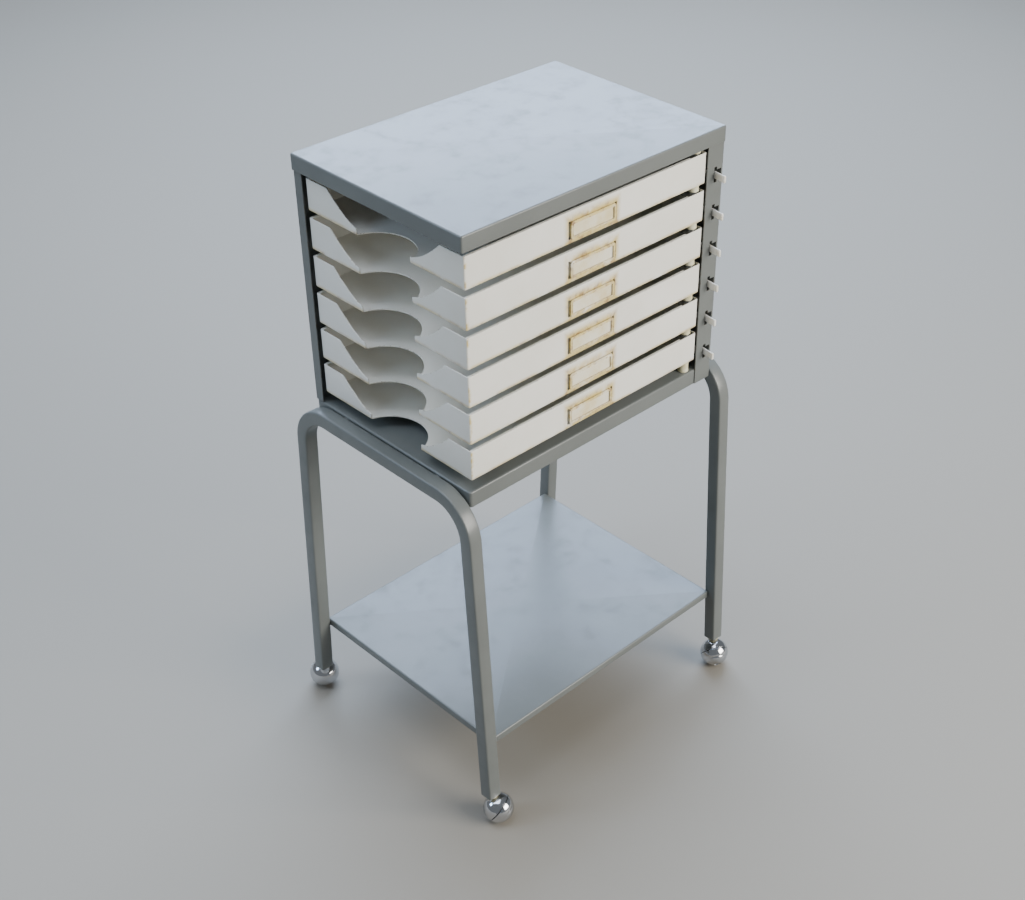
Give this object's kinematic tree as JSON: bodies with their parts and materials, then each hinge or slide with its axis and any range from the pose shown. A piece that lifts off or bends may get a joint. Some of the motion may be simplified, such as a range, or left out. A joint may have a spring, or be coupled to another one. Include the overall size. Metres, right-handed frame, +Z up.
{
  "type": "flat file cabinet",
  "caption": "Desk-height flat file cabinet with shallow sheet trays that swing out on an upright rod, push levers, a lower shelf and bent-tube legs on ball casters.",
  "frame": {"origin": "on the floor, below the centre of the overall box", "axes": "+Z up, the tray fronts face -Y, +X to the right along the fronts, the hinge rod is at +X -Y"},
  "size_m": [0.4716, 0.4074, 0.828],
  "materials": {
    "grey_paint": "semi-gloss",
    "cream_paint": "semi-gloss",
    "bright_steel": "plain",
    "cream_nylon": "matt",
    "white_plastic": "gloss",
    "chrome": "polished"
  },
  "bodies": {
    "cabinet": {"lid": "grey_paint", "base_pan": "grey_paint", "back_panel": "grey_paint", "side_panel": "grey_paint", "rear_post": "grey_paint", "front_post": "grey_paint", "left_frame": "grey_paint", "right_frame": "grey_paint", "shelf": "grey_paint", "hinge_rod": "bright_steel", "rod_nuts": "bright_steel", "frame_bolts": "bright_steel", "frame_washers": "bright_steel", "shelf_screws": "bright_steel", "spacers": "cream_nylon", "caster_sockets": "cream_nylon"},
    "swing_tray_1": {"tray_1": "cream_paint", "hinge_sleeve_1": "bright_steel", "push_lever_1": "bright_steel", "lever_cap_1": "white_plastic", "label_holder_1": "cream_paint"},
    "swing_tray_2": {"tray_2": "cream_paint", "hinge_sleeve_2": "bright_steel", "push_lever_2": "bright_steel", "lever_cap_2": "white_plastic", "label_holder_2": "cream_paint"},
    "swing_tray_3": {"tray_3": "cream_paint", "hinge_sleeve_3": "bright_steel", "push_lever_3": "bright_steel", "lever_cap_3": "white_plastic", "label_holder_3": "cream_paint"},
    "swing_tray_4": {"tray_4": "cream_paint", "hinge_sleeve_4": "bright_steel", "push_lever_4": "bright_steel", "lever_cap_4": "white_plastic", "label_holder_4": "cream_paint"},
    "swing_tray_5": {"tray_5": "cream_paint", "hinge_sleeve_5": "bright_steel", "push_lever_5": "bright_steel", "lever_cap_5": "white_plastic", "label_holder_5": "cream_paint"},
    "swing_tray_6": {"tray_6": "cream_paint", "hinge_sleeve_6": "bright_steel", "push_lever_6": "bright_steel", "lever_cap_6": "white_plastic", "label_holder_6": "cream_paint"},
    "swivel_front_left": {"caster_hood_front_left": "chrome", "caster_axle_front_left": "bright_steel"},
    "wheel_front_left": {"caster_wheel_front_left": "chrome"},
    "swivel_front_right": {"caster_hood_front_right": "chrome", "caster_axle_front_right": "bright_steel"},
    "wheel_front_right": {"caster_wheel_front_right": "chrome"},
    "swivel_rear_left": {"caster_hood_rear_left": "chrome", "caster_axle_rear_left": "bright_steel"},
    "wheel_rear_left": {"caster_wheel_rear_left": "chrome"},
    "swivel_rear_right": {"caster_hood_rear_right": "chrome", "caster_axle_rear_right": "bright_steel"},
    "wheel_rear_right": {"caster_wheel_rear_right": "chrome"}
  },
  "joints": [
    {"name": "tray_1_swing", "type": "hinge", "parent": "cabinet", "child": "swing_tray_1", "pos_m": [0.168, -0.1328, 0.782], "axis": [0, 0, 1], "range_deg": [0, 90]},
    {"name": "tray_2_swing", "type": "hinge", "parent": "cabinet", "child": "swing_tray_2", "pos_m": [0.168, -0.1328, 0.733], "axis": [0, 0, 1], "range_deg": [0, 90]},
    {"name": "tray_3_swing", "type": "hinge", "parent": "cabinet", "child": "swing_tray_3", "pos_m": [0.168, -0.1328, 0.684], "axis": [0, 0, 1], "range_deg": [0, 90]},
    {"name": "tray_4_swing", "type": "hinge", "parent": "cabinet", "child": "swing_tray_4", "pos_m": [0.168, -0.1328, 0.635], "axis": [0, 0, 1], "range_deg": [0, 90]},
    {"name": "tray_5_swing", "type": "hinge", "parent": "cabinet", "child": "swing_tray_5", "pos_m": [0.168, -0.1328, 0.586], "axis": [0, 0, 1], "range_deg": [0, 90]},
    {"name": "tray_6_swing", "type": "hinge", "parent": "cabinet", "child": "swing_tray_6", "pos_m": [0.168, -0.1328, 0.537], "axis": [0, 0, 1], "range_deg": [0, 90]},
    {"name": "swivel_front_left", "type": "hinge", "parent": "cabinet", "child": "swivel_front_left", "pos_m": [-0.2205, -0.17475, 0.05], "axis": [0, 0, 1], "continuous": true},
    {"name": "roll_front_left", "type": "hinge", "parent": "swivel_front_left", "child": "wheel_front_left", "pos_m": [-0.2155, -0.18341, 0.0203], "axis": [0.4096, -0.7094, -0.5736], "continuous": true},
    {"name": "swivel_front_right", "type": "hinge", "parent": "cabinet", "child": "swivel_front_right", "pos_m": [0.2205, -0.17475, 0.05], "axis": [0, 0, 1], "continuous": true},
    {"name": "roll_front_right", "type": "hinge", "parent": "swivel_front_right", "child": "wheel_front_right", "pos_m": [0.2155, -0.18341, 0.0203], "axis": [-0.4096, -0.7094, -0.5736], "continuous": true},
    {"name": "swivel_rear_left", "type": "hinge", "parent": "cabinet", "child": "swivel_rear_left", "pos_m": [-0.2205, 0.17475, 0.05], "axis": [0, 0, 1], "continuous": true},
    {"name": "roll_rear_left", "type": "hinge", "parent": "swivel_rear_left", "child": "wheel_rear_left", "pos_m": [-0.2155, 0.18341, 0.0203], "axis": [0.4096, 0.7094, -0.5736], "continuous": true},
    {"name": "swivel_rear_right", "type": "hinge", "parent": "cabinet", "child": "swivel_rear_right", "pos_m": [0.2205, 0.17475, 0.05], "axis": [0, 0, 1], "continuous": true},
    {"name": "roll_rear_right", "type": "hinge", "parent": "swivel_rear_right", "child": "wheel_rear_right", "pos_m": [0.2155, 0.18341, 0.0203], "axis": [-0.4096, 0.7094, -0.5736], "continuous": true}
  ]
}
